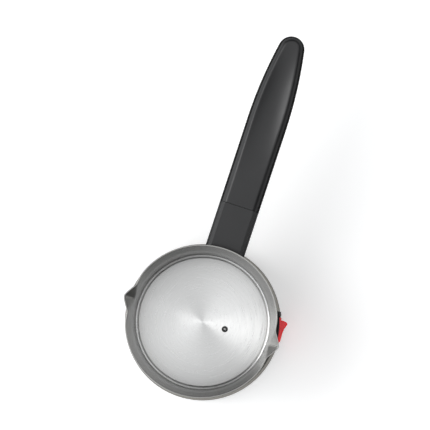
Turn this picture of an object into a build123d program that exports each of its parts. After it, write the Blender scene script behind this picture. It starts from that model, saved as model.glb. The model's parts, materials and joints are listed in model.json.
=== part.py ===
from build123d import *
import math
import os

os.makedirs("parts", exist_ok=True)

# Small cordless electric coffee pot. Millimetres, +Z up. The origin is on the pot's axis at the
# standing plane, the handle runs along +Y and the two pouring spouts point along +X and -X.

# ---- driving dimensions ----
RIM_Z = 100.0              # height of the rim
RIM_R = 55.0               # outer radius of the rim
SHEET = 1.0                # pot sheet thickness
WALL_R = 51.3              # inner radius of the straight wall
COLLAR_DEPTH = 19.0        # the wall flares outward above this depth
COLLAR_BEND = 20.0         # radius of the bend under the collar
FLOOR_Z = 30.0             # top of the heating floor
SPOUT_REACH = 58.2         # tip radius of each spout at the rim
SPOUT_HALF = 10.2          # half width of a spout at the rim
SPOUT_DEPTH = 24.0         # the pouring channel fades out this far below the rim

SKIRT_R = 60.0             # base skirt
SKIRT_T = 0.8
SKIRT_LOW = 2.5
SKIRT_SHOULDER = 27.0      # height where the wall turns into the shoulder
SKIRT_TOP = 33.5

SOCKET_R = 16.5            # bore that drops over the power base's connector
SOCKET_DEPTH = 6.5
COLLAR_T = 2.0
STAND_IN = 50.0            # standing ring of the bottom cover
STAND_OUT = 55.0
COVER_LOW = 2.5
COVER_T = 2.0

PLATE_R = 49.9             # stainless heating floor
PLATE_T = 1.0
BEVEL_R = 48.6
BIMETAL_Z = 25.9
PLATE_FLANGE_Z = 24.5
SENSOR_X = 17.8            # temperature sensor, on the spout axis
CONTROL_R = 25.8           # trip control, inside the heating ring
CONTROL_LOW = 10.0
CONTROL_HIGH = 24.5
EAR_HIGH = 18.2
STUD_R = 22.0
SPREADER_R = 40.0
SPREADER_T = 2.5
ELEMENT_R = 30.0           # heating ring's centreline
ELEMENT_TUBE = 3.2

HANDLE_HALF = 14.65        # half width of the handle
HANDLE_SEAM = 86.9         # seam between the handle root and the grip
HANDLE_STRAIGHT = 150.0    # the sides are parallel up to here
HANDLE_END = 207.0         # centre region of the tip
HANDLE_END_HALF = 9.4
HANDLE_TIP = 214.8
HANDLE_SLOPE = 0.135       # rise per millimetre of the handle's top
HANDLE_TOP = 93.5          # height of the handle's top at the pot wall
HANDLE_DEEP = 24.0         # its thickness at the pot wall
STEP = 1.6                 # the grip cover stands this far inside the shell's edge
COVER_H = 6.0              # height of the grip cover above the shell's edge
TOP_CHAMFER = 2.4          # chamfer along the handle's top
LOW_CHAMFER = 3.2          # chamfer along the handle's underside

LEVER_ANGLE = 12.0         # direction of the switch, from +X towards +Y
WINDOW_LOW = 8.6           # opening of the switch in the skirt
WINDOW_HIGH = 28.2
WINDOW_HALF = 11.3
WINDOW_IN = 56.5           # the window starts at this radius
FRAME_WALL = 1.4           # the bezel's wall above and below the opening
FRAME_HALF = 13.1          # the bezel's plug, around the opening
LIP_HALF = 14.4            # the bezel's thin lip on the skirt's face
LEVER_PIVOT = 50.5         # radius of the switch lever's pin
LEVER_Z = 15.5
TRIP_PIVOT = 31.0          # radius of the trip rocker's pin
LINK_U = 42.5              # radius at which the lever drives the trip rocker
PUSH_U = 20.5              # radius of the push pin
PIN_R = 1.0
RUN_GAP = 0.06             # running clearance on the radius


# ---- helpers ----
def revolve_profile(points):
    """Solid of revolution from (radius, height) or (radius, height, corner radius) points."""
    corners = [point[2] if len(point) == 3 else 0 for point in points]
    path = [(point[0], 0, point[1]) for point in points]
    face = make_face(FilletPolyline(*path, radius=corners, close=True))
    return revolve(face, Axis.Z, 360)


def tube(r_out, r_in, z_low, z_high):
    return disc(r_out, z_low, z_high) - disc(r_in, z_low - 1, z_high + 1)


def disc(r, z_low, z_high, x=0.0, y=0.0):
    return Pos(x, y, z_low) * extrude(Circle(r), z_high - z_low)


def block(x, y, z):
    """Box from three (low, high) pairs."""
    size = [high - low for low, high in (x, y, z)]
    centre = [(high + low) / 2 for low, high in (x, y, z)]
    return Pos(*centre) * Box(*size)


def rod_t(r, u, z, half):
    """Round pin across the switch, at radius u and height z."""
    return Pos(u, 0, z) * Rot(90, 0, 0) * Cylinder(r, 2 * half)


def at_switch(shape):
    return Rot(0, 0, LEVER_ANGLE) * shape


def polar(r, angle):
    return r * math.cos(math.radians(angle)), r * math.sin(math.radians(angle))


def join(shapes):
    solid = shapes[0]
    for shape in shapes[1:]:
        solid = solid + shape
    return solid


def save(shape, name):
    solids = list(shape.solids())
    whole = solids[0] if len(solids) == 1 else Compound(children=solids)
    whole.label = name
    export_step(whole, "parts/" + name + ".step")


# ---- pot ----
def spout_wedge(reach, half, depth, apex_r, nose):
    """V-shaped channel that narrows to a point on the wall, for the +X side."""
    over = 1.12
    top_z = RIM_Z + depth * (over - 1)
    rim_x = math.sqrt((RIM_R - SHEET / 2) ** 2 - half**2)
    tip_x = apex_r + (reach - apex_r) * over
    slope = half / (reach - rim_x)
    wide = 1.2 * half
    back = [(tip_x - wide / slope, side * wide) for side in (1, -1)]
    deep = [(apex_r - 4.0, side * 0.9 * wide) for side in (1, -1)]
    tip = (tip_x + 0.13 * nose, 0)
    face = make_face(Polyline(deep[0], back[0], tip, back[1], deep[1], close=True))
    face = fillet(face.vertices().sort_by(Axis.X)[-1], nose)
    return loft([Pos(0, 0, top_z) * face, Vertex(apex_r, 0, RIM_Z - depth)])


def pot_shell(grow):
    """Pot volume, grown by the sheet thickness for its outside."""
    r_wall = WALL_R + grow
    r_rim = RIM_R - SHEET + grow
    z_low = PLATE_FLANGE_Z
    body = revolve_profile(
        [
            (0, z_low),
            (r_wall, z_low),
            (r_wall, RIM_Z - COLLAR_DEPTH, COLLAR_BEND),
            (r_rim, RIM_Z + 0.5),
            (0, RIM_Z + 0.5),
        ]
    )
    depth = SPOUT_DEPTH + 3.0 * grow
    wedge = spout_wedge(
        SPOUT_REACH - SHEET + grow * 1.1, SPOUT_HALF + grow, depth, WALL_R - 1.0 + grow, 3.0 + grow
    )
    return body + wedge + Rot(0, 0, 180) * wedge


def pot_body():
    top = block((-80, 80), (-80, 80), (RIM_Z, RIM_Z + 20))
    shell = pot_shell(SHEET) - pot_shell(0.0) - top
    ledge = tube(WALL_R + 0.2, PLATE_R - 2.6, PLATE_FLANGE_Z - 1.4, PLATE_FLANGE_Z - 0.4)
    skin = tube(WALL_R + SHEET, WALL_R, PLATE_FLANGE_Z - 1.4, PLATE_FLANGE_Z + 1)
    return shell + ledge + skin


def floor_plate():
    low = PLATE_FLANGE_Z
    plate = revolve_profile(
        [
            (0, FLOOR_Z - PLATE_T),
            (PLATE_R - PLATE_T, FLOOR_Z - PLATE_T),
            (PLATE_R - PLATE_T, low),
            (PLATE_R, low),
            (PLATE_R, FLOOR_Z + 0.5),
            (PLATE_R - 0.5, FLOOR_Z + 0.5),
            (BEVEL_R, FLOOR_Z),
            (0, FLOOR_Z),
        ]
    )
    return plate - disc(1.9, FLOOR_Z - 5, FLOOR_Z + 5, SENSOR_X)


def floor_seal():
    gap = WALL_R - PLATE_R
    ring = tube(WALL_R, PLATE_R, PLATE_FLANGE_Z, FLOOR_Z - 0.7)
    foot = tube(WALL_R, PLATE_R - 1.3 * gap, PLATE_FLANGE_Z - 0.4, PLATE_FLANGE_Z)
    return ring + foot


def sensor_probe():
    stem = disc(1.25, FLOOR_Z - 9.0, FLOOR_Z + 1.0, SENSOR_X)
    dome = Pos(SENSOR_X, 0, FLOOR_Z + 1.0) * Sphere(1.25)
    head = disc(2.6, FLOOR_Z - 9.8, FLOOR_Z - 9.0, SENSOR_X)
    return stem + dome + head


def sensor_seal():
    top = disc(2.35, FLOOR_Z, FLOOR_Z + 0.7, SENSOR_X)
    neck = disc(1.9, FLOOR_Z - PLATE_T, FLOOR_Z, SENSOR_X)
    foot = disc(3.2, FLOOR_Z - PLATE_T - 1.2, FLOOR_Z - PLATE_T, SENSOR_X)
    return top + neck + foot - disc(1.25, FLOOR_Z - 8, FLOOR_Z + 8, SENSOR_X)


def sensor_clip():
    """Spring washer that holds the probe against its seal."""
    ring = disc(3.4, FLOOR_Z - 3.0, FLOOR_Z - 2.2, SENSOR_X)
    return ring - disc(1.25, FLOOR_Z - 8, FLOOR_Z + 8, SENSOR_X)


def heat_spreader():
    top = FLOOR_Z - PLATE_T
    plate = disc(SPREADER_R, top - SPREADER_T, top)
    return plate - disc(4.2, top - 10, top + 10, SENSOR_X)


def element_z():
    return FLOOR_Z - PLATE_T - SPREADER_T - ELEMENT_TUBE


def heating_element():
    """C-shaped sheathed tube, open towards the handle."""
    gap = 32.0
    start = Rot(0, 0, 90 + gap / 2)
    section = Pos(ELEMENT_R, 0, element_z()) * Rot(90, 0, 0) * Circle(ELEMENT_TUBE)
    ring = revolve(section, Axis.Z, 360 - gap)
    return start * ring


def element_pins():
    """Cold pins that leave the two ends of the heating tube."""
    pins = []
    for side in (1, -1):
        angle = 90 + side * 16.0
        turn = Rot(0, 0, angle)
        run = turn * Pos(ELEMENT_R, -side * 2.6, element_z()) * Rot(90, 0, 0) * Cylinder(1.2, 5.0)
        x, y = polar(ELEMENT_R, angle - side * 7.4)
        drop = disc(1.2, element_z() - 6.0, element_z() + 1.2, x, y)
        pins.append(run + drop)
    return Compound(children=pins)


# ---- base ----
SKIRT_THROAT = WALL_R + SHEET + 0.5


def skirt_volume(grow):
    """Inside of the skirt's outer face, moved outward by the given amount."""
    throat = SKIRT_THROAT + SKIRT_T + grow
    rise = 0.6 * grow
    return revolve_profile(
        [
            (0, SKIRT_LOW),
            (SKIRT_R + grow, SKIRT_LOW, 1.2),
            (SKIRT_R + grow, SKIRT_SHOULDER + rise, 7.0 + grow),
            (throat, SKIRT_TOP - 2.5 + rise, 2.0 - grow),
            (throat, SKIRT_TOP),
            (0, SKIRT_TOP),
        ]
    )


def base_skirt():
    t = SKIRT_T
    inner = revolve_profile(
        [
            (0, SKIRT_LOW - 1),
            (SKIRT_R - t, SKIRT_LOW - 1),
            (SKIRT_R - t, SKIRT_SHOULDER - 0.6, 6.2),
            (SKIRT_THROAT, SKIRT_TOP - 2.9, 2.8),
            (SKIRT_THROAT, SKIRT_TOP + 1),
            (0, SKIRT_TOP + 1),
        ]
    )
    half = FRAME_HALF + 0.1
    low, high = WINDOW_LOW - FRAME_WALL - 0.1, WINDOW_HIGH + FRAME_WALL + 0.1
    window = at_switch(block((WINDOW_IN, SKIRT_R + 5), (-half, half), (low, high)))
    return skirt_volume(0.0) - inner - window


def skirt_seal():
    low, high = SKIRT_TOP - 2.2, SKIRT_TOP + 0.4
    return tube(WALL_R + SHEET + 0.5, WALL_R + SHEET, low, high)


def cover_screw_places():
    return [polar(44.0, angle) for angle in (60, 180, 300)]


def base_cover():
    """Black bottom cover with a standing ring and the socket collar."""
    low, high = COVER_LOW, COVER_LOW + COVER_T
    edge = SKIRT_R - SKIRT_T - 0.1
    floor = tube(edge, SOCKET_R, low, high)
    lip = tube(edge, edge - 2.0, high - 0.1, high + 2.0)
    stand = tube(STAND_OUT, STAND_IN, 0, low + 0.1)
    collar = tube(SOCKET_R + COLLAR_T, SOCKET_R, 0, SOCKET_DEPTH)
    cover = floor + lip + stand + collar
    for x, y in cover_screw_places():
        cover = cover + disc(3.4, low, 8.0, x, y) - disc(1.6, -5, 20, x, y)
        cover = cover - disc(3.1, -5, low + 1.4, x, y)
    for angle in range(15, 360, 30):
        slot = Rot(0, 0, angle) * block((26, 36), (-0.9, 0.9), (low - 1, high + 1))
        cover = cover - slot
    return cover


def cover_screws():
    """Pan-head screws up into the bosses of the chassis ring."""
    screws = []
    for x, y in cover_screw_places():
        head = disc(2.8, COVER_LOW - 0.4, COVER_LOW + 1.4, x, y)
        shank = disc(1.5, COVER_LOW + 1.4, 19.0, x, y)
        cross = block((x - 1.7, x + 1.7), (y - 0.4, y + 0.4), (COVER_LOW - 1, COVER_LOW + 0.5))
        bar = block((x - 0.4, x + 0.4), (y - 1.7, y + 1.7), (COVER_LOW - 1, COVER_LOW + 0.5))
        screws.append(head + shank - cross - bar)
    return Compound(children=screws)


def chassis_ring():
    """Plastic ring inside the skirt that carries the screw bosses."""
    z_low, z_high = 18.5, 20.0
    ring = tube(SKIRT_R - SKIRT_T - 0.1, 39.0, z_low, z_high)
    for x, y in cover_screw_places():
        ring = ring + disc(3.4, 8.0, z_high, x, y)
        ring = ring - disc(1.55, 0, z_high + 1, x, y)
    legs = [
        Rot(0, 0, angle) * block((52.6, 54.2), (-5, 5), (z_high - 0.1, PLATE_FLANGE_Z + 1.0))
        for angle in (60, 180, 300)
    ]
    window = at_switch(block((38, 80), (-14.5, 14.5), (16.0, 22.0)))
    return join([ring] + legs) - window


# ---- control ----
def stud_places():
    return [polar(STUD_R, angle) for angle in (75, 195, 315)]


def bimetal_places():
    return [polar(14.0, angle) for angle in (130, 240)]


def control_body():
    """Moulded control block with the guides of the trip gear."""
    body = disc(CONTROL_R, CONTROL_LOW, CONTROL_HIGH)
    for side in (1, -1):
        low, high = sorted((side * 4.6, side * 6.6))
        ear = block((CONTROL_R - 3.0, TRIP_PIVOT + 3.0), (low, high), (CONTROL_LOW, EAR_HIGH))
        body = body + at_switch(ear)
    for x, y in bimetal_places():
        body = body + disc(7.6, CONTROL_HIGH, BIMETAL_Z + 0.5, x, y)
        body = body - disc(6.6, BIMETAL_Z, 40, x, y)
    for x, y in stud_places():
        body = body - disc(1.7, 0, 40, x, y)
        body = body - disc(3.3, CONTROL_HIGH - 1.0, 40, x, y)
    slot = block((PUSH_U - 4.2, 40), (-4.5, 4.5), (CONTROL_LOW + 1.2, CONTROL_HIGH + 3))
    body = body - at_switch(slot)
    body = body - at_switch(disc(PIN_R + RUN_GAP, 0, 40, PUSH_U, 0))
    body = body - at_switch(rod_t(PIN_R, TRIP_PIVOT, LEVER_Z, 12))
    return body - disc(4.0, FLOOR_Z - 10.5, 40, SENSOR_X)


def connector_socket():
    """Round socket with the slots that the power base's rings enter."""
    low, high = SOCKET_DEPTH, CONTROL_LOW
    body = disc(SOCKET_R + COLLAR_T - 0.3, low, high)
    body = body - tube(13.4, 11.4, low - 1, low + 2.4)
    body = body - tube(8.6, 6.6, low - 1, low + 2.4)
    return body - disc(2.6, low - 1, low + 2.4)


def contact_rings():
    """Line and neutral rings and the earth pin of the cordless socket."""
    low = SOCKET_DEPTH + 1.1
    high = SOCKET_DEPTH + 2.4
    outer = tube(13.4, 12.7, low, high)
    inner = tube(8.6, 7.9, low, high)
    earth = disc(1.4, SOCKET_DEPTH + 0.5, high)
    return Compound(children=[outer, inner, earth])


def plate_studs():
    """Studs pressed into the heat spreader that carry the control."""
    top = FLOOR_Z - PLATE_T - SPREADER_T
    studs = [disc(1.6, CONTROL_LOW - 1.5, top, x, y) for x, y in stud_places()]
    return Compound(children=studs)


def stud_nuts():
    """Hexagon nuts on the studs, under the control."""
    nuts = []
    for x, y in stud_places():
        hexagon = Pos(x, y, CONTROL_LOW - 1.8) * extrude(RegularPolygon(2.9, 6), 1.8)
        nuts.append(hexagon - disc(1.62, 0, 40, x, y))
    return Compound(children=nuts)


def stud_spacers():
    """Ceramic sleeves between the control and the heat spreader."""
    top = FLOOR_Z - PLATE_T - SPREADER_T
    sleeves = [
        disc(3.0, CONTROL_HIGH - 1.0, top, x, y) - disc(1.7, 0, 40, x, y)
        for x, y in stud_places()
    ]
    return Compound(children=sleeves)


def bimetal_discs():
    """Snap discs that watch the floor for boiling dry."""
    return Compound(
        children=[disc(6.4, BIMETAL_Z, BIMETAL_Z + 0.4, x, y) for x, y in bimetal_places()]
    )


def trip_rocker():
    """Rocker that passes the lever's motion to the push pin."""
    beam = block((PUSH_U - 1.5, LINK_U - 2.6), (-3.2, 3.2), (LEVER_Z - 1.2, LEVER_Z + 1.2))
    beam = beam - block((PUSH_U - 3, PUSH_U + 5), (-9, 9), (LEVER_Z - 9, LEVER_Z - 0.4))
    hub = rod_t(2.3, TRIP_PIVOT, LEVER_Z, 3.9)
    jaws = [
        block((LINK_U - 2.7, LINK_U + 1.2), (-3.2, 3.2), (LEVER_Z + 1.25, LEVER_Z + 2.6)),
        block((LINK_U - 2.7, LINK_U + 1.2), (-3.2, 3.2), (LEVER_Z - 2.6, LEVER_Z - 1.25)),
        block((LINK_U - 3.6, LINK_U - 2.0), (-3.2, 3.2), (LEVER_Z - 2.6, LEVER_Z + 2.6)),
    ]
    body = join([beam, hub] + jaws)
    return at_switch(body - rod_t(PIN_R + RUN_GAP, TRIP_PIVOT, LEVER_Z, 9))


def trip_pin():
    return at_switch(rod_t(PIN_R, TRIP_PIVOT, LEVER_Z, 6.6))


def push_pin():
    """Ceramic pin that opens the contacts."""
    return at_switch(disc(PIN_R, CONTROL_LOW - 0.9, LEVER_Z - 0.75, PUSH_U, 0))


def contact_leaf():
    """Springy moving contact under the push pin."""
    z = CONTROL_LOW - 1.4
    leaf = block((18.9, 25.4), (-2.0, 2.0), (z - 0.3, z))
    foot = block((24.2, 25.4), (-2.0, 2.0), (z - 0.3, CONTROL_LOW))
    button = disc(0.9, z - 0.8, z - 0.3, 20.0, 0)
    return at_switch(leaf + foot + button)


def fixed_contact():
    """Fixed contact strip under the moving leaf."""
    z = COVER_LOW + COVER_T
    strip = block((18.8, 24.0), (-2.0, 2.0), (z, z + 0.5))
    strip = strip + block((18.8, 21.0), (-1.2, 1.2), (z, z + 2.0))
    return at_switch(strip)


# ---- switch ----
PADDLE_LOW = 21.6
PADDLE_HIGH = 26.4
PADDLE_IN = 56.8           # the thumb lip starts just outside the skirt's edge
PLATE_IN = 57.4
PLATE_OUT = 59.8
EAR_END = 56.4             # clear of the lever's plate over its whole travel
PADDLE_TIP = (64.9, 5.3)


def lip_outline():
    """Plan of the thumb lip: a hooked tip towards the handle and a hollow flank beside it."""
    steep_side = [(PADDLE_IN, 8.0), (60.6, 7.9), (62.7, 7.3), (64.4, 6.4)]
    hollow_side = [(64.1, 3.8), (62.8, 1.6), (61.8, -1.5), (61.2, -5.0), (60.6, -8.8)]
    points = steep_side + [PADDLE_TIP] + hollow_side + [(PADDLE_IN, -8.8)]
    return make_face(Polyline(*points, close=True))


def switch_lever():
    """Red rocker: a face plate in the window with a hooked thumb lip, and a drive arm inside."""
    outline = lip_outline()
    lip = Pos(0, 0, PADDLE_LOW) * extrude(outline, PADDLE_HIGH - PADDLE_LOW)
    lip = chamfer(lip.edges().group_by(Axis.Z)[-1], 0.5)
    plate = block((PLATE_IN, PLATE_OUT), (-9.8, 9.8), (LEVER_Z - 4.0, PADDLE_HIGH))
    web = block((LEVER_PIVOT, 58.5), (-9.0, 9.0), (LEVER_Z - 1.7, LEVER_Z + 1.7))
    hub = rod_t(2.6, LEVER_PIVOT, LEVER_Z, 9.0)
    arm = block((LINK_U + 0.2, LEVER_PIVOT), (-2.4, 2.4), (LEVER_Z - 0.9, LEVER_Z + 0.9))
    nose = rod_t(0.95, LINK_U + 0.2, LEVER_Z, 2.4)
    body = join([lip, plate, web, hub, arm, nose])
    return at_switch(body - rod_t(PIN_R + RUN_GAP, LEVER_PIVOT, LEVER_Z, 12))


def switch_pin():
    return at_switch(rod_t(PIN_R, LEVER_PIVOT, LEVER_Z, 12.2))


def switch_bezel():
    """Black frame in the skirt's window, with the ears that carry the lever's pin."""
    low, high = WINDOW_LOW, WINDOW_HIGH
    out = SKIRT_R + 5
    proud, deep, gap = 0.7, 2.6, 0.04
    margin = FRAME_WALL + LIP_HALF - FRAME_HALF
    plug_box = block(
        (WINDOW_IN + 0.1, out), (-FRAME_HALF, FRAME_HALF), (low - FRAME_WALL, high + FRAME_WALL)
    )
    lip_box = block((WINDOW_IN - 2.5, out), (-LIP_HALF, LIP_HALF), (low - margin, high + margin))
    plug = (skirt_volume(proud) - skirt_volume(-deep)) & plug_box
    flange = (skirt_volume(proud) - skirt_volume(gap)) & lip_box
    opening = block((40, out), (-WINDOW_HALF, WINDOW_HALF), (low, high))
    ears = []
    ear_z = (LEVER_Z - 3.2, LEVER_Z + 3.2)
    for side in (1, -1):
        near, far = sorted((side * 9.6, side * 12.2))
        ears.append(block((LEVER_PIVOT - 3, EAR_END), (near, far), ear_z))
        near, far = sorted((side * (WINDOW_HALF + 0.1), side * 12.2))
        ears.append(block((55.0, 58.4), (near, far), ear_z))
    frame = join([(plug + flange) - opening] + ears)
    return at_switch(frame - rod_t(PIN_R, LEVER_PIVOT, LEVER_Z, 20))


def switch_spring():
    """Over-centre blade spring that snaps the lever between its two places."""
    blade = block((LEVER_PIVOT - 2.0, LEVER_PIVOT + 3.0), (-7.6, -4.6), (5.0, 5.4))
    rise = block((LEVER_PIVOT - 0.2, LEVER_PIVOT + 0.2), (-7.6, -4.6), (5.0, LEVER_Z - 2.8))
    return at_switch(blade + rise)


def thermal_fuse():
    """Safety fuse clipped beside the heating ring."""
    place = Pos(-36.4, 0, FLOOR_Z - PLATE_T - SPREADER_T - 1.5) * Rot(90, 0, 0)
    return place * Cylinder(1.5, 9.0) + place * Cylinder(0.4, 16.0)


def element_leads():
    """Short insulated leads from the cold pins to the control."""
    leads = []
    for side in (1, -1):
        x, y = polar(ELEMENT_R, 90 + side * 8.6)
        low = element_z() - 8.5
        drop = disc(1.5, low, element_z() - 6.0, x, y)
        run = block((x - 1.5, x + 1.5), (23.0, y), (low, low + 2.4))
        leads.append(drop + run - disc(CONTROL_R, 0, 40))
    return Compound(children=leads)


def earth_tab():
    """Earth tag under one stud nut."""
    x, y = stud_places()[1]
    z = CONTROL_LOW - 2.3
    tag = block((x - 10, x + 3), (y - 2.5, y + 2.5), (z, z + 0.5))
    return tag - disc(1.7, 0, 40, x, y)


# ---- handle ----
def handle_outline(inset):
    """Plan outline of the handle from the wall to its rounded tip, inset by the given amount."""
    half = HANDLE_HALF - inset
    end_half = HANDLE_END_HALF - inset
    tip = HANDLE_TIP - inset
    mid_y = (HANDLE_STRAIGHT + HANDLE_END) / 2
    mid_half = half - (half - end_half) * 0.25
    left = Line((-half, 40), (-half, HANDLE_STRAIGHT))
    side = ThreePointArc((-half, HANDLE_STRAIGHT), (-mid_half, mid_y), (-end_half, HANDLE_END))
    nose = ThreePointArc((-end_half, HANDLE_END), (0, tip), (end_half, HANDLE_END))
    back = ThreePointArc((end_half, HANDLE_END), (mid_half, mid_y), (half, HANDLE_STRAIGHT))
    right = Line((half, HANDLE_STRAIGHT), (half, 40))
    base = Line((half, 40), (-half, 40))
    return make_face(left + side + nose + back + right + base)


def handle_top(y):
    return HANDLE_TOP + HANDLE_SLOPE * (y - WALL_R)


def handle_side(y_low, y_high, top_drop, bottom_lift):
    """Side profile between two stations, lowered at the top and lifted at the bottom."""
    root = 40.0
    tip = HANDLE_TIP + 2
    shell_top = -COVER_H * top_drop
    low_root = HANDLE_TOP - HANDLE_DEEP + bottom_lift
    low_mid = handle_top(120) - 20.0 + bottom_lift
    low_tip = handle_top(tip) - 13.0 + bottom_lift
    top = Line((root, handle_top(root) + shell_top), (tip, handle_top(tip) + shell_top))
    end = Line((tip, handle_top(tip) + shell_top), (tip, low_tip))
    low = ThreePointArc((tip, low_tip), (120, low_mid), (root, low_root))
    back = Line((root, low_root), (root, handle_top(root) + shell_top))
    face = Plane.YZ * make_face(top + end + low + back)
    body = extrude(face, 40, both=True)
    return body & block((-50, 50), (y_low, y_high), (0, 300))


def handle_solid(inset, y_low, y_high, top_drop, bottom_lift):
    plan = extrude(handle_outline(inset), 300)
    return plan & handle_side(y_low, y_high, top_drop, bottom_lift)


SHELL_T = 2.0
HEAD_T = 2.2
SEAT_RISE = 2.3
SEAM_GAP = 0.15
ROOT_Y = 52.9
TANG_Z = 78.0
TANG_HALF_T = 1.5
TANG_END = 121.0
TANG_HALF_W = 8.0


def lower_shape(y_low, y_high, inset, lift):
    body = handle_solid(inset, y_low, y_high, 1.0, lift)
    edges = [
        e for e in body.edges()
        if e.bounding_box().max.Z < handle_top(e.center().Y) - COVER_H - 2 and e.length > 8
        and e.bounding_box().size.Y > 6
    ]
    return chamfer(edges, LOW_CHAMFER - inset * 0.5)


def tang_cut(gap):
    """Passage for the steel tang, widened by the gap."""
    return sloped_bar(TANG_HALF_W + gap, TANG_HALF_T + gap, 45, TANG_END + gap)


def tang_low(y):
    return TANG_Z + HANDLE_SLOPE * (y - ROOT_Y - 4.2) - TANG_HALF_T


def sloped_bar(half, half_high, y_low, y_high):
    z_mid = TANG_Z
    rise = HANDLE_SLOPE
    points = [
        (y_low, z_mid + rise * (y_low - ROOT_Y) - half_high),
        (y_high, z_mid + rise * (y_high - ROOT_Y) - half_high),
        (y_high, z_mid + rise * (y_high - ROOT_Y) + half_high),
        (y_low, z_mid + rise * (y_low - ROOT_Y) + half_high),
    ]
    return extrude(Plane.YZ * make_face(Polyline(*points, close=True)), half, both=True)


def root_screw_place():
    return 70.0


def root_screw_seat():
    return HANDLE_TOP - HANDLE_DEEP + 5.6


def grip_screw_places():
    return [100.0, 178.0]


def handle_root():
    """Moulded block between the pot and the grip."""
    low = lower_shape(ROOT_Y - 4, HANDLE_SEAM - SEAM_GAP, 0.0, 0.0)
    top = handle_solid(STEP, ROOT_Y - 4, HANDLE_SEAM - SEAM_GAP, 0.0, 8.0)
    top = chamfer(long_top_edges(top), TOP_CHAMFER)
    body = low + top
    body = body - cone_wall(0.1) - tang_cut(0.1) - bracket_pad(0.1)
    y = root_screw_place()
    return body - disc(1.75, 0, TANG_Z + 9.0, 0, y) - disc(3.6, 0, root_screw_seat(), 0, y)


def cone_wall(gap):
    """Outside of the pot wall, where the handle root fits against it."""
    r = WALL_R + SHEET + gap
    r_rim = RIM_R + gap
    return revolve_profile(
        [
            (0, 30),
            (r, 30),
            (r, RIM_Z - COLLAR_DEPTH, COLLAR_BEND),
            (r_rim, RIM_Z + 0.5),
            (0, RIM_Z + 0.5),
        ]
    )


def long_top_edges(body):
    return [
        e for e in body.edges()
        if e.bounding_box().min.Z > handle_top(e.center().Y) - 4.0 - HANDLE_SLOPE * e.length
        and e.bounding_box().size.Y > 6
    ]


def grip_lower_shell():
    """Lower shell of the grip, hollow, with its bosses."""
    outside = lower_shape(HANDLE_SEAM + SEAM_GAP, HANDLE_TIP + 2, 0.0, 0.0)
    hollow = handle_solid(SHELL_T + STEP, HANDLE_SEAM + SHELL_T, HANDLE_TIP + 2, 0.5, SHELL_T + 1.5)
    body = outside - hollow
    for y in grip_screw_places():
        z_top = tang_low(y) if y < TANG_END else 300
        body = body + (disc(4.2, 0, z_top, 0, y) & outside)
    body = body - tang_cut(0.1)
    for y in grip_screw_places():
        z_head = grip_floor(y) + SEAT_RISE
        body = body - disc(1.7, 0, 300, 0, y) - disc(3.3, 0, z_head, 0, y)
    return body


def grip_floor(y):
    """Height of the underside of the grip on its centreline."""
    shape = handle_side(y - 0.5, y + 0.5, 1.0, 0.0)
    return shape.bounding_box().min.Z


def grip_upper_cover():
    """Upper cover of the grip with its long thumb hollow."""
    outside = handle_solid(STEP, HANDLE_SEAM + SEAM_GAP, HANDLE_TIP + 2, 0.0, 0.0)
    outside = chamfer(long_top_edges(outside), TOP_CHAMFER)
    below = handle_solid(-5.0, 0, HANDLE_TIP + 9, 1.0, -60.0)
    inside = handle_solid(STEP + SHELL_T, HANDLE_SEAM + SHELL_T, HANDLE_TIP + 2, 0.35, -60.0)
    body = outside - below - inside
    for y in grip_screw_places():
        boss = disc(3.6, 0, 300, 0, y) & (outside - below)
        body = body + boss
        pilot = disc(1.4, 0, handle_top(y) - 2.6, 0, y)
        body = body - pilot
    return body - thumb_hollow()


def thumb_hollow():
    """Shallow dish along the grip, as a slice of a long ellipsoid's lower side."""
    middle = 158.0
    depth = 0.9
    lift = 22.0
    body = scale(Sphere(lift + depth), by=(1.35, 6.9, 1.0))
    slope = math.degrees(math.atan(HANDLE_SLOPE))
    return Pos(0, middle, handle_top(middle) + lift) * Rot(slope, 0, 0) * body


def bracket_pad(gap):
    """Curved foot of the bracket against the pot wall, widened by the gap."""
    pad = tube(WALL_R + SHEET + 1.6 + gap, WALL_R + SHEET, TANG_Z - 7.0 - gap, TANG_Z + 1.5 + gap)
    return pad & block((-10 - gap, 10 + gap), (40, 80), (0, 200))


def handle_bracket():
    """Steel bracket welded to the pot, with the tang that carries the handle."""
    pad = bracket_pad(0.0)
    bar = sloped_bar(TANG_HALF_W, TANG_HALF_T, WALL_R, TANG_END) - disc(WALL_R + SHEET + 0.8, 0, 200)
    body = pad + bar
    for y in [root_screw_place(), grip_screw_places()[0]]:
        body = body - disc(1.75, 0, 300, 0, y)
    return body


def screw(y, z_low, z_high, head_r, shank_r):
    head = disc(head_r, z_low, z_low + HEAD_T, 0, y)
    shank = disc(shank_r, z_low + HEAD_T, z_high, 0, y)
    cross = block((-1.6, 1.6), (y - 0.4, y + 0.4), (z_low - 1, z_low + 1.1))
    bar = block((-0.4, 0.4), (y - 1.6, y + 1.6), (z_low - 1, z_low + 1.1))
    return head + shank - cross - bar


def handle_screw():
    """Screw up through the root into the tang."""
    y = root_screw_place()
    return screw(y, root_screw_seat() - HEAD_T, TANG_Z + 8.0, 3.4, 1.7)


def grip_screws():
    """Screws up through the lower shell into the cover's bosses."""
    screws = []
    for y in grip_screw_places():
        z_seat = grip_floor(y) + SEAT_RISE
        screws.append(screw(y, z_seat - HEAD_T, handle_top(y) - 3.0, 3.1, 1.38))
    return Compound(children=screws)


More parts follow.
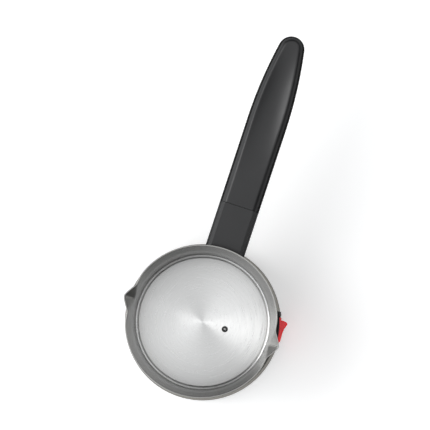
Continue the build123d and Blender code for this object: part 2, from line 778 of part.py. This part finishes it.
save(pot_body(), "pot_body")
save(floor_plate(), "floor_plate")
save(floor_seal(), "floor_seal")
save(sensor_probe(), "sensor_probe")
save(sensor_seal(), "sensor_seal")
save(sensor_clip(), "sensor_clip")
save(heat_spreader(), "heat_spreader")
save(heating_element(), "heating_element")
save(element_pins(), "element_pins")
save(element_leads(), "element_leads")
save(thermal_fuse(), "thermal_fuse")
save(plate_studs(), "plate_studs")
save(stud_spacers(), "stud_spacers")
save(stud_nuts(), "stud_nuts")
save(earth_tab(), "earth_tab")
save(bimetal_discs(), "bimetal_discs")
save(control_body(), "control_body")
save(connector_socket(), "connector_socket")
save(contact_rings(), "contact_rings")
save(contact_leaf(), "contact_leaf")
save(fixed_contact(), "fixed_contact")
save(push_pin(), "push_pin")
save(trip_rocker(), "trip_rocker")
save(trip_pin(), "trip_pin")
save(switch_lever(), "switch_lever")
save(switch_pin(), "switch_pin")
save(switch_bezel(), "switch_bezel")
save(switch_spring(), "switch_spring")
save(base_skirt(), "base_skirt")
save(skirt_seal(), "skirt_seal")
save(chassis_ring(), "chassis_ring")
save(base_cover(), "base_cover")
save(cover_screws(), "cover_screws")
save(handle_bracket(), "handle_bracket")
save(handle_root(), "handle_root")
save(handle_screw(), "handle_screw")
save(grip_lower_shell(), "grip_lower_shell")
save(grip_upper_cover(), "grip_upper_cover")
save(grip_screws(), "grip_screws")
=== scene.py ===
import json
import math

import bmesh
import bpy
from mathutils import Matrix, Vector
from mathutils.kdtree import KDTree


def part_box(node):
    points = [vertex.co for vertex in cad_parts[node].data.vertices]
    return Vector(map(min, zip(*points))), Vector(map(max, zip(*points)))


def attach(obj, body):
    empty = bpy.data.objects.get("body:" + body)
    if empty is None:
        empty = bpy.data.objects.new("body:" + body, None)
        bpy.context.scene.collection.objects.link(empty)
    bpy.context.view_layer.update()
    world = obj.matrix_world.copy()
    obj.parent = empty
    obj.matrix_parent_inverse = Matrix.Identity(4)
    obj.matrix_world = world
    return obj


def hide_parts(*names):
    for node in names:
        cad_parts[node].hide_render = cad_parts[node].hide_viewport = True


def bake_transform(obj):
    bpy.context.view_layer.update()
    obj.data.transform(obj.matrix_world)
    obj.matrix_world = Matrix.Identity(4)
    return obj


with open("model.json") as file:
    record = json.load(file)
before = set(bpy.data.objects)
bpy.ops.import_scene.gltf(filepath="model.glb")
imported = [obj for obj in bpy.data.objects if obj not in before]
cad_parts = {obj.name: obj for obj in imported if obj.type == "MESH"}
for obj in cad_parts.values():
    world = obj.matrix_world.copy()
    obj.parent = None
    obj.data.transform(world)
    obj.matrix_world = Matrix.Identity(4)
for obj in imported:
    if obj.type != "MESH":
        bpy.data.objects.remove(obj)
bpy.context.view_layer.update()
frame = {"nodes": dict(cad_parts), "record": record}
NODES = frame["nodes"]

MM = 0.001

# ---- places read from the frame ----
pot_low, pot_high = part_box("pot_body")
plate_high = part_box("floor_plate")[1]
seal_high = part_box("floor_seal")[1]
cover_low, cover_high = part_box("grip_upper_cover")

RIM_Z = pot_high.z
RIM_R = pot_high.y                        # outer radius of the rim, away from the spouts
SPOUT_TIP = pot_high.x                    # outer tip radius of a spout
SHEET = 1.0 * MM
WALL_R = seal_high.y                      # inner radius of the straight wall
COLLAR_Z = RIM_Z - 19.0 * MM              # the collar flares out above this height
COLLAR_BEND = 5.0 * MM                    # half length of the bend under the collar
SPOUT_DEEP = 24.0 * MM                    # the pouring channel fades out this far below the rim
SPOUT_SLOPE = 0.62                        # how fast a spout's flanks fall back beside its tip
SPOUT_WIDE = 10.4                         # half angle of a spout at the rim, in degrees
SPOUT_NOSE = 1.8 * MM                     # rounding of a spout's tip
SPOUT_SOFT = 0.8 * MM                     # rounding where a spout leaves the collar
SPOUT_END = math.radians(24)              # a spout has ended at this angle from its tip
SPOUT_DIP = 1.0 * MM                      # the rim is drawn in beside each spout
DIP_END = math.radians(40)                # the drawn-in part has ended at this angle
DIP_FADE = 7.5                            # how slowly it fades beyond the spout, in degrees


# ---- shader helpers ----
class Graph:
    """Node tree of one material or world, with short calls for the nodes used here."""

    def __init__(self, name, owner=None):
        self.material = owner or bpy.data.materials.new(name)
        self.material.use_nodes = True
        self.tree = self.material.node_tree
        self.shader = self.tree.nodes["Background" if owner else "Principled BSDF"]

    def add(self, kind, **settings):
        node = self.tree.nodes.new(kind)
        for key, value in settings.items():
            setattr(node, key, value)
        return node

    def link(self, out, socket):
        self.tree.links.new(out, socket)

    def set(self, **values):
        for key, value in values.items():
            self.shader.inputs[key.replace("_", " ")].default_value = value

    def math(self, operation, a, b=None, c=None):
        node = self.add("ShaderNodeMath", operation=operation)
        for socket, value in zip(node.inputs, (a, b, c)):
            if value is None:
                continue
            if isinstance(value, (int, float)):
                socket.default_value = value
            else:
                self.link(value, socket)
        return node.outputs[0]

    def place(self):
        """Position in the part's own frame, in metres, as x, y and z."""
        split = self.add("ShaderNodeSeparateXYZ")
        self.link(self.add("ShaderNodeTexCoord").outputs["Object"], split.inputs[0])
        return split.outputs[0], split.outputs[1], split.outputs[2]

    def vector(self, x, y, z):
        node = self.add("ShaderNodeCombineXYZ")
        for socket, value in zip(node.inputs, (x, y, z)):
            if isinstance(value, (int, float)):
                socket.default_value = value
            else:
                self.link(value, socket)
        return node.outputs[0]

    def noise(self, vector, scale, detail=3.0, rough=0.55):
        node = self.add("ShaderNodeTexNoise")
        node.inputs["Scale"].default_value = scale
        node.inputs["Detail"].default_value = detail
        node.inputs["Roughness"].default_value = rough
        self.link(vector, node.inputs["Vector"])
        return node.outputs["Fac"]

    def spread(self, value, low, high, from_low=0.3, from_high=0.7, ease="LINEAR"):
        """Maps a value onto a range."""
        node = self.add("ShaderNodeMapRange", interpolation_type=ease)
        self.link(value, node.inputs["Value"])
        for name, number in zip(
            ("From Min", "From Max", "To Min", "To Max"), (from_low, from_high, low, high)
        ):
            node.inputs[name].default_value = number
        return node.outputs["Result"]

    def ramp(self, value, stops):
        node = self.add("ShaderNodeValToRGB")
        self.link(value, node.inputs["Fac"])
        elements = node.color_ramp.elements
        while len(elements) < len(stops):
            elements.new(0.5)
        for element, (position, colour) in zip(elements, stops):
            element.position = position
            element.color = (*colour, 1.0)
        return node.outputs["Color"]

    def bump(self, height, strength, distance):
        node = self.add("ShaderNodeBump")
        node.inputs["Strength"].default_value = strength
        node.inputs["Distance"].default_value = distance
        self.link(height, node.inputs["Height"])
        self.link(node.outputs["Normal"], self.shader.inputs["Normal"])


def around_axis(g, turns, lines):
    """Coordinates that run slowly around the pot's axis and fast across it."""
    x, y, z = g.place()
    r = g.math("SQRT", g.math("ADD", g.math("MULTIPLY", x, x), g.math("MULTIPLY", y, y)))
    safe = g.math("MAXIMUM", r, 1e-5)
    cos, sin = g.math("DIVIDE", x, safe), g.math("DIVIDE", y, safe)
    across = g.math("MULTIPLY", g.math("ADD", r, z), lines)
    return g.vector(g.math("MULTIPLY", cos, turns), g.math("MULTIPLY", sin, turns), across)


def brushed(
    name, colour, rough, anisotropy=0.0, turns=2.5, lines=1800.0, wear=0.06, rotation=0.0, edge=1.0,
):
    """Stainless steel brushed around the pot's axis; edge dims its shine at flat angles."""
    g = Graph(name)
    g.set(Metallic=1.0, Anisotropic=anisotropy, Anisotropic_Rotation=rotation)
    g.set(Specular_Tint=(edge, edge, edge, 1.0))
    fine = g.noise(around_axis(g, turns, lines), 1.0, 4.0, 0.6)
    broad = g.noise(around_axis(g, turns * 0.5, lines * 0.16), 1.0, 2.0)
    both = g.math("ADD", g.math("MULTIPLY", fine, 0.65), g.math("MULTIPLY", broad, 0.35))
    tint = [tuple(c * k for c in colour) for k in (0.86, 1.0, 1.1)]
    colours = g.ramp(both, [(0.3, tint[0]), (0.5, tint[1]), (0.72, tint[2])])
    g.link(colours, g.shader.inputs["Base Color"])
    g.link(g.spread(both, rough - wear, rough + wear), g.shader.inputs["Roughness"])
    if anisotropy:
        tangent = g.add("ShaderNodeTangent", direction_type="RADIAL", axis="Z")
        g.link(tangent.outputs[0], g.shader.inputs["Tangent"])
    g.bump(fine, 0.05, 0.00002)
    return g.material


def moulded(name, colour, rough, grain=2600.0, depth=0.00003, strength=0.25, gloss=0.5):
    """Moulded plastic with a fine even grain."""
    g = Graph(name)
    g.set(Specular_IOR_Level=gloss)
    x, y, z = g.place()
    where = g.vector(x, y, z)
    fine = g.noise(where, grain, 2.0)
    broad = g.noise(where, 60.0, 3.0)
    tint = [tuple(c * k for c in colour) for k in (0.88, 1.12)]
    g.link(g.ramp(broad, [(0.35, tint[0]), (0.65, tint[1])]), g.shader.inputs["Base Color"])
    g.link(g.spread(broad, rough - 0.04, rough + 0.05), g.shader.inputs["Roughness"])
    g.bump(fine, strength, depth)
    return g.material


def plain_metal(name, colour, rough):
    g = Graph(name)
    g.set(Metallic=1.0)
    x, y, z = g.place()
    fine = g.noise(g.vector(x, y, z), 900.0, 4.0)
    tint = [tuple(c * k for c in colour) for k in (0.85, 1.08)]
    g.link(g.ramp(fine, [(0.3, tint[0]), (0.7, tint[1])]), g.shader.inputs["Base Color"])
    g.link(g.spread(fine, rough - 0.07, rough + 0.07), g.shader.inputs["Roughness"])
    g.bump(fine, 0.1, 0.00003)
    return g.material


def red_translucent_painted_glow():
    """Tinted see-through plastic of the switch lever, with a painted glow: it gives off faint red
    light though no lamp is in it.
    """
    g = Graph("red_translucent_painted_glow")
    # Emission is a painted glow: the lever lights itself though it holds no lamp.
    g.set(Roughness=0.22, IOR=1.5, Emission_Strength=0.22)
    g.set(Subsurface_Weight=0.3, Subsurface_Scale=0.003)
    g.shader.inputs["Subsurface Radius"].default_value = (1.0, 0.1, 0.06)
    g.shader.inputs["Emission Color"].default_value = (1.0, 0.01, 0.015, 1.0)
    x, y, z = g.place()
    cloud = g.noise(g.vector(x, y, z), 160.0, 3.0)
    stops = [(0.3, (0.70, 0.004, 0.012)), (0.7, (0.88, 0.008, 0.02))]
    g.link(g.ramp(cloud, stops), g.shader.inputs["Base Color"])
    g.bump(g.noise(g.vector(x, y, z), 1500.0, 2.0), 0.08, 0.00003)
    return g.material


# ---- materials of the CAD nodes, by slot ----
MATERIALS = {
    "pot_steel": brushed("wall_steel", (0.33, 0.326, 0.315), 0.22, 0.5, rotation=0.25, edge=0.62),
    "floor_steel": brushed(
        "floor_steel", (0.71, 0.71, 0.705), 0.30, 0.85, turns=3.0, lines=2600.0, rotation=0.25,
    ),
    # Skirt steel is darker than the wall's: its low base colour is painted shade, standing in for
    # the dark reflection along the skirt's side.
    "skirt_steel": brushed("skirt_steel", (0.26, 0.25, 0.23), 0.26, 0.5, rotation=0.25, edge=0.5),
    "black_plastic": moulded("black_plastic", (0.006, 0.006, 0.006), 0.42, gloss=0.2),
    "grip_plastic": moulded("grip_plastic", (0.012, 0.012, 0.013), 0.36),
    "red_plastic": red_translucent_painted_glow(),
    "white_plastic": moulded("white_plastic", (0.74, 0.72, 0.66), 0.4),
    "silicone_black": moulded("silicone_black", (0.015, 0.015, 0.015), 0.5),
    "silicone_grey": moulded("silicone_grey", (0.16, 0.16, 0.16), 0.5),
    "aluminium_plate": plain_metal("aluminium_plate", (0.78, 0.78, 0.79), 0.35),
    "element_sheath": plain_metal("element_sheath", (0.5, 0.5, 0.51), 0.45),
    "plain_steel": plain_metal("plain_steel", (0.62, 0.62, 0.62), 0.25),
    "zinc_steel": plain_metal("zinc_steel", (0.72, 0.73, 0.75), 0.22),
    "contact_brass": plain_metal("contact_brass", (0.78, 0.57, 0.25), 0.28),
    "ceramic_white": moulded("ceramic_white", (0.8, 0.78, 0.72), 0.6),
    "lead_sleeve": moulded("lead_sleeve", (0.68, 0.62, 0.53), 0.7),
}


def paint(obj, material):
    obj.data.materials.clear()
    obj.data.materials.append(material)


def paint_nodes():
    for entry in frame["record"]["subparts"]:
        paint(NODES[entry["node"]], MATERIALS[entry["material_slot"]])


def mesh_object(name, points, faces, material):
    """Smooth object from points and faces, with its normals outside."""
    mesh = bpy.data.meshes.new(name)
    mesh.from_pydata(points, [], faces)
    work = bmesh.new()
    work.from_mesh(mesh)
    bmesh.ops.remove_doubles(work, verts=work.verts, dist=1e-6)
    bmesh.ops.recalc_face_normals(work, faces=work.faces)
    work.to_mesh(mesh)
    work.free()
    mesh.shade_smooth()
    mesh.set_sharp_from_angle(angle=math.radians(50))
    obj = bpy.data.objects.new(name, mesh)
    bpy.context.scene.collection.objects.link(obj)
    paint(obj, material)
    return obj


# ---- pot: one sheet with a flared collar and two pressed spouts ----
def smooth_step(t):
    t = min(max(t, 0.0), 1.0)
    return t * t * (3 - 2 * t)


def smooth_max(a, b, soft):
    """Larger of two lengths, with the corner between them rounded."""
    share = min(max(0.5 + 0.5 * (a - b) / soft, 0.0), 1.0)
    return b + (a - b) * share + soft * share * (1 - share)


def wall_radius(z, grow):
    """Radius of the pot away from the spouts."""
    slope = (RIM_R - SHEET - WALL_R) / (RIM_Z - COLLAR_Z)
    t = z - COLLAR_Z
    rise = 0.5 * (t + math.sqrt(t * t + COLLAR_BEND * COLLAR_BEND * 0.35)) - 0.15 * COLLAR_BEND
    return WALL_R + grow + slope * max(rise, 0.0)


def spout_radius(angle, z, grow):
    """Radius of the V-shaped spout at an angle from its own centre line."""
    share = (z - (RIM_Z - SPOUT_DEEP)) / SPOUT_DEEP
    root = WALL_R - 1.0 * MM
    tip = root + (SPOUT_TIP - SHEET - root) * share
    y = tip * math.sin(abs(angle))
    eased = math.sqrt(y * y + SPOUT_NOSE * SPOUT_NOSE) - SPOUT_NOSE
    return (tip - SPOUT_SLOPE * eased) / max(math.cos(angle), 0.2) + grow


def pot_radius(angle, z, grow):
    r = wall_radius(z, grow)
    first = abs(math.remainder(angle, math.tau))
    second = abs(math.remainder(angle - math.pi, math.tau))
    off = min(first, second)
    if off > DIP_END:
        return r
    share = smooth_step((z - (RIM_Z - SPOUT_DEEP)) / SPOUT_DEEP)
    beyond = max(off - math.radians(SPOUT_WIDE), 0.0) / math.radians(DIP_FADE)
    r -= SPOUT_DIP * share * math.exp(-beyond * beyond)
    if off > SPOUT_END:
        return r
    return smooth_max(r, spout_radius(off, z, grow), SPOUT_SOFT)


def pot_angles():
    """Angles around the pot, closer together at the spouts."""
    angles = []
    a = 0.0
    while a < 360.0 - 1e-6:
        angles.append(math.radians(a))
        near = min(a % 180.0, 180.0 - a % 180.0)
        a += 0.25 if near < 6 else 0.5 if near < 20 else 1.0
    return angles


def pot_section():
    """(height, growth from the inner face) around the sheet, from inside bottom over the rim."""
    low = pot_low.z + 1.0 * MM
    edge = 0.22 * MM
    heights = [low + (COLLAR_Z - 8 * MM - low) * i / 8 for i in range(9)]
    z = COLLAR_Z - 8 * MM
    while z < RIM_Z - 1.2 * MM:
        z += 0.9 * MM
        heights.append(min(z, RIM_Z - 0.6 * MM))
    section = [(h, 0.0) for h in heights]
    for i in range(5):
        a = math.pi / 2 * i / 4
        section.append((RIM_Z - edge + edge * math.sin(a), edge - edge * math.cos(a)))
    for i in range(5):
        a = math.pi / 2 * (1 - i / 4)
        section.append((RIM_Z - edge + edge * math.sin(a), SHEET - edge + edge * math.cos(a)))
    section += [(h, SHEET) for h in reversed(heights)]
    return section


def pot_shell():
    angles = pot_angles()
    section = pot_section()
    points = []
    for z, grow in section:
        for a in angles:
            r = pot_radius(a, z, grow)
            points.append((r * math.cos(a), r * math.sin(a), z))
    n, m = len(angles), len(section)
    faces = []
    for i in range(m):
        k = (i + 1) % m
        for j in range(n):
            q = (j + 1) % n
            faces.append((i * n + j, k * n + j, k * n + q, i * n + q))
    shell = mesh_object("pot_shell", points, faces, MATERIALS["pot_steel"])
    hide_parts("pot_body")
    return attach(shell, "pot")


# ---- heating floor: a pressed plate with a bevel and a rolled groove against the wall ----
def revolve_mesh(name, profile, material, steps=288):
    """Closed ring or disc from (radius, height) points; a point on the axis is a single vertex."""
    points = []
    rows = []
    for r, z in profile:
        if r < 1e-6:
            rows.append([len(points)] * steps)
            points.append((0.0, 0.0, z))
            continue
        rows.append([len(points) + i for i in range(steps)])
        turns = [math.tau * i / steps for i in range(steps)]
        points += [(r * math.cos(a), r * math.sin(a), z) for a in turns]
    faces = []
    for low, high in zip(rows, rows[1:] + rows[:1]):
        for i in range(steps):
            k = (i + 1) % steps
            corners = list(dict.fromkeys((low[i], low[k], high[k], high[i])))
            if len(corners) > 2:
                faces.append(corners)
    return mesh_object(name, points, faces, material)


def floor_dish():
    top = plate_high.z
    flat_r = 48.5 * MM
    bevel_r = flat_r + 0.35 * MM
    bevel = 0.75 * MM
    groove_r = 50.35 * MM
    groove = top - 1.0 * MM
    edge_r = WALL_R - 0.06 * MM
    thick = 0.7 * MM
    upper = [(share * flat_r, top) for share in (0.0, 0.3, 0.6, 0.9, 1.0)]
    for i in range(1, 9):
        t = i / 8
        r = bevel_r + (groove_r - bevel_r) * t
        upper.append((r, top - bevel * smooth_step(t) - (top - bevel - groove) * t * t))
    for i in range(1, 7):
        a = math.pi / 2 * i / 6
        r = groove_r + (edge_r - groove_r) * math.sin(a)
        upper.append((r, groove + 0.9 * MM * (1 - math.cos(a))))
    lower = [(r, z - thick) for r, z in reversed(upper)]
    dish = revolve_mesh("floor_dish", upper + lower, MATERIALS["floor_steel"])
    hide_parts("floor_plate")
    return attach(dish, "pot")


# ---- grip: upper cover with a long thumb hollow and rounded edges ----
SLOPE = 0.135                             # rise per length of the handle's top
HANDLE_TOP = 93.5 * MM                    # height of the handle's top at the pot wall
SEAM_Y = cover_low.y
COVER_HALF = cover_high.x
COVER_TIP = cover_high.y
COVER_DEEP = 6.0 * MM                     # the cover's side goes down this far
TAPER_Y = 150.0 * MM                      # the sides are parallel up to here
END_Y = 207.0 * MM
END_HALF = 7.8 * MM
COVER_EDGE = 2.4 * MM                     # chamfer along the top
HOLLOW_DEEP = 1.9 * MM
COVER_WALL = 2.0 * MM
COLUMNS = 56


def handle_top(y):
    return HANDLE_TOP + SLOPE * (y - WALL_R)


def arc(a, b, c, steps):
    """Points from a over b to c on the circle through them, without the first."""
    (ax, ay), (bx, by), (cx, cy) = a, b, c
    d = 2 * (ax * (by - cy) + bx * (cy - ay) + cx * (ay - by))
    sa, sb, sc = ax * ax + ay * ay, bx * bx + by * by, cx * cx + cy * cy
    mx = (sa * (by - cy) + sb * (cy - ay) + sc * (ay - by)) / d
    my = (sa * (cx - bx) + sb * (ax - cx) + sc * (bx - ax)) / d
    r = math.hypot(ax - mx, ay - my)
    first = math.atan2(ay - my, ax - mx)
    swing = math.remainder(math.atan2(cy - my, cx - mx) - first, math.tau)
    turns = [first + swing * (i + 1) / steps for i in range(steps)]
    return [(mx + r * math.cos(t), my + r * math.sin(t)) for t in turns]


def cover_outline(inset):
    """Right-hand half of the cover's outline, as (half width, distance) from the seam to the tip."""
    steps = 48
    wide, narrow = COVER_HALF - inset, END_HALF - inset
    straight = [(wide, SEAM_Y + (TAPER_Y - SEAM_Y) * i / steps) for i in range(steps + 1)]
    mid_half = wide - (wide - narrow) * 0.25
    side = arc(straight[-1], (mid_half, (TAPER_Y + END_Y) / 2), (narrow, END_Y), 44)
    nose = arc((narrow, END_Y), (0.0, COVER_TIP - inset), (-narrow, END_Y), 80)[:40]
    return straight + side + nose


def hollow_depth(y, share):
    """Depth of the thumb hollow at a distance and at a share of the half width."""
    start, deepest, end = 100.0 * MM, 166.0 * MM, COVER_TIP + 2.0 * MM
    along = (y - start) / (deepest - start) if y < deepest else (end - y) / (end - deepest)
    return HOLLOW_DEEP * smooth_step(along) * (1 - share * share)


def cover_skin(inset, edge):
    """Rows of points across the cover, from its left foot over the top to its right foot."""
    outline = cover_outline(inset)
    border = outline + [(-x, y) for x, y in reversed(outline)]
    tree = KDTree(len(border))
    for i, (x, y) in enumerate(border):
        tree.insert((x, y, 0), i)
    tree.balance()
    shares = [math.sin(math.pi / 2 * (2 * i / COLUMNS - 1)) for i in range(COLUMNS + 1)]
    rows = []
    for half, y in outline:
        top = handle_top(y) - inset
        foot = [top - edge - (COVER_DEEP - inset - edge) * k / 3 for k in (3, 2, 1)]
        row = [(-half, y, z) for z in foot]
        for share in shares:
            x = share * half
            inside = tree.find((x, y, 0))[2] if abs(share) < 0.9999 else 0.0
            drop = smooth_max(edge - inside, 0.0, 0.5 * edge)
            flat_half = max(half - edge, 0.1 * MM)
            row.append((x, y, top - drop - hollow_depth(y, min(abs(x) / flat_half, 1.0))))
        rows.append(row + [(half, y, z) for z in reversed(foot)])
    return rows


def grip_cover():
    outer = cover_skin(0.0, COVER_EDGE)
    inner = cover_skin(COVER_WALL, 0.5 * COVER_EDGE)
    wide, long = len(outer[0]), len(outer)
    points = [point for row in outer + inner for point in row]
    shift = wide * long
    faces = []
    for i in range(long - 1):
        for j in range(wide - 1):
            quad = (i * wide + j, i * wide + j + 1, (i + 1) * wide + j + 1, (i + 1) * wide + j)
            faces.append(quad)
            faces.append(tuple(shift + k for k in reversed(quad)))
        for j in (0, wide - 1):
            a, b = i * wide + j, (i + 1) * wide + j
            faces.append((a, b, b + shift, a + shift))
    for j in range(wide - 1):
        faces.append((j, j + 1, j + 1 + shift, j + shift))
    cover = mesh_object("grip_cover", points, faces, MATERIALS["grip_plastic"])
    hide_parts("grip_upper_cover")
    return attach(cover, "pot")


# ---- contact leaf: a copy with cuts across it from its foot to just past the push pin ----
LEAF_FOOT = 24.2 * MM                     # the leaf's foot starts this far from the pot's axis
LEAF_FLAT = 1.5 * MM                      # the leaf stays flat this far beyond the pin's centre
LEAF_CUTS = 8


def spring_leaf():
    cad = NODES["contact_leaf"]
    leaf = bpy.data.objects.new("spring_leaf", cad.data.copy())
    bpy.context.scene.collection.objects.link(leaf)
    leaf.matrix_world = cad.matrix_world.copy()
    leaf_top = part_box("contact_leaf")[1].z
    pin_low, pin_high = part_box("push_pin")
    pin = (pin_low + pin_high) / 2
    outward = Vector((pin.x, pin.y, 0)).normalized()
    bend_from = outward * LEAF_FOOT
    bend_to = outward * (Vector((pin.x, pin.y, 0)).length + LEAF_FLAT)
    bend_from.z = bend_to.z = leaf_top
    work = bmesh.new()
    work.from_mesh(leaf.data)
    turn = leaf.matrix_world.inverted()
    for i in range(LEAF_CUTS + 1):
        spot = bend_from.lerp(bend_to, i / LEAF_CUTS)
        parts = work.verts[:] + work.edges[:] + work.faces[:]
        normal = turn.to_3x3() @ outward
        bmesh.ops.bisect_plane(work, geom=parts, dist=1e-7, plane_co=turn @ spot, plane_no=normal)
    work.to_mesh(leaf.data)
    work.free()
    paint(leaf, MATERIALS["contact_brass"])
    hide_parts("contact_leaf")
    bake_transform(leaf)
    return leaf


# ---- camera ----
VIEW_TURN = math.radians(18.4)            # direction of the picture's right side in the frame
CAMERA_ABOVE = 1000.0 * MM
FIELD = 309.3 * MM                        # width seen at the rim
AIM_RIGHT = 9.87 * MM                     # picture's centre from the pot's axis
AIM_UP = 76.1 * MM
EYE_RIGHT = 16.0 * MM
EYE_DOWN = 8.0 * MM


def camera():
    right = Vector((math.cos(VIEW_TURN), math.sin(VIEW_TURN), 0))
    up = Vector((-math.sin(VIEW_TURN), math.cos(VIEW_TURN), 0))
    eye = right * EYE_RIGHT - up * EYE_DOWN + Vector((0, 0, RIM_Z + CAMERA_ABOVE))
    aim = right * AIM_RIGHT + up * AIM_UP + Vector((0, 0, RIM_Z))
    back = (eye - aim).normalized()
    side = up.cross(back).normalized()
    top = back.cross(side)
    data = bpy.data.cameras.new("camera")
    data.sensor_width = 36.0
    data.lens = 36.0 * (eye - aim).length / FIELD
    data.clip_end = 20.0
    obj = bpy.data.objects.new("camera", data)
    obj.matrix_world = Matrix(
        (
            (side.x, top.x, back.x, eye.x),
            (side.y, top.y, back.y, eye.y),
            (side.z, top.z, back.z, eye.z),
            (0, 0, 0, 1),
        )
    )
    bpy.context.scene.collection.objects.link(obj)
    bpy.context.scene.camera = obj
    return right, up


# ---- studio ----
BAND_TURN = math.radians(24)
SKY_BASE = 0.10
SKY_TOP = 1.2
SKY_BAND = 1.9
SKY_LEFT = 1.6
OVERHEAD = (0.88, 0.99)                   # sine of the elevation where the overhead part begins
HIGH = (0.72, 0.88)                       # the same for the two side bands
LEFT = (-0.8, -0.35)                      # how far left the low glow reaches
KEY_WATTS = 8.0
KEY_SIZE = (0.7, 0.7)
KEY_LEFT = 0.95
KEY_UP = 0.25
KEY_ABOVE = 1.25
KEY_AIM_Z = 0.08
FLOOR_GLOW = 0.4


def floor():
    mesh = bpy.data.meshes.new("studio_floor")
    s = 4.0
    mesh.from_pydata([(-s, -s, 0), (s, -s, 0), (s, s, 0), (-s, s, 0)], [], [(0, 1, 2, 3)])
    obj = bpy.data.objects.new("studio_floor", mesh)
    bpy.context.scene.collection.objects.link(obj)
    g = Graph("studio_floor")
    g.set(Roughness=0.9)
    x, y, z = g.place()
    cloud = g.noise(g.vector(x, y, z), 3.0, 2.0)
    stops = [(0.3, (0.88, 0.88, 0.88)), (0.7, (0.90, 0.90, 0.90))]
    g.link(g.ramp(cloud, stops), g.shader.inputs["Base Color"])
    g.shader.inputs["Specular IOR Level"].default_value = 0.1
    g.shader.inputs["Emission Color"].default_value = (1.0, 1.0, 1.0, 1.0)
    g.shader.inputs["Emission Strength"].default_value = FLOOR_GLOW
    paint(obj, g.material)


def soft_light(name, place, aim, size, watts, colour=(1, 1, 1)):
    data = bpy.data.lights.new(name, "AREA")
    data.shape = "RECTANGLE"
    data.size, data.size_y = size
    data.energy = watts
    data.color = colour
    obj = bpy.data.objects.new(name, data)
    obj.location = place
    obj.rotation_euler = (Vector(aim) - Vector(place)).to_track_quat("-Z", "Y").to_euler()
    bpy.context.scene.collection.objects.link(obj)
    return obj


def sky(right):
    """Soft white tent: bright overhead and to both sides, dim along the handle's direction."""
    world = bpy.data.worlds.new("studio")
    g = Graph("studio", world)
    bpy.context.scene.world = world
    split = g.add("ShaderNodeSeparateXYZ")
    g.link(g.add("ShaderNodeTexCoord").outputs["Generated"], split.inputs[0])
    turned = Matrix.Rotation(BAND_TURN, 3, "Z") @ right
    x, y, z = split.outputs
    across = g.math("ADD", g.math("MULTIPLY", x, turned.x), g.math("MULTIPLY", y, turned.y))
    flat = g.math("ADD", g.math("MULTIPLY", x, x), g.math("MULTIPLY", y, y))
    sideways = g.math("DIVIDE", g.math("MULTIPLY", across, across), g.math("ADD", flat, 0.01))
    overhead = g.spread(z, 0.0, 1.0, *OVERHEAD, "SMOOTHSTEP")
    high = g.spread(z, 0.0, 1.0, *HIGH, "SMOOTHSTEP")
    left = g.spread(across, 1.0, 0.0, *LEFT, "SMOOTHSTEP")
    band = g.math("MULTIPLY", g.math("MULTIPLY", sideways, high), SKY_BAND)
    low_left = g.math("MULTIPLY", g.math("MULTIPLY", left, g.math("SUBTRACT", 1.0, high)), SKY_LEFT)
    outer = g.math("ADD", g.math("ADD", band, low_left), SKY_BASE)
    share = g.math("SUBTRACT", 1.0, overhead)
    glow = g.math("ADD", g.math("MULTIPLY", outer, share), g.math("MULTIPLY", overhead, SKY_TOP))
    g.link(glow, g.shader.inputs["Strength"])
    g.shader.inputs["Color"].default_value = (0.98, 0.99, 1.0, 1.0)


def studio(right, up):
    floor()
    sky(right)
    centre = Vector((0, 0, KEY_AIM_Z))
    key = centre - right * KEY_LEFT + up * KEY_UP + Vector((0, 0, KEY_ABOVE))
    soft_light("key", key, centre, KEY_SIZE, KEY_WATTS)


paint_nodes()
pot_shell()
floor_dish()
grip_cover()
spring_leaf()
picture_right, picture_up = camera()
studio(picture_right, picture_up)
bpy.context.scene.view_settings.view_transform = "Standard"
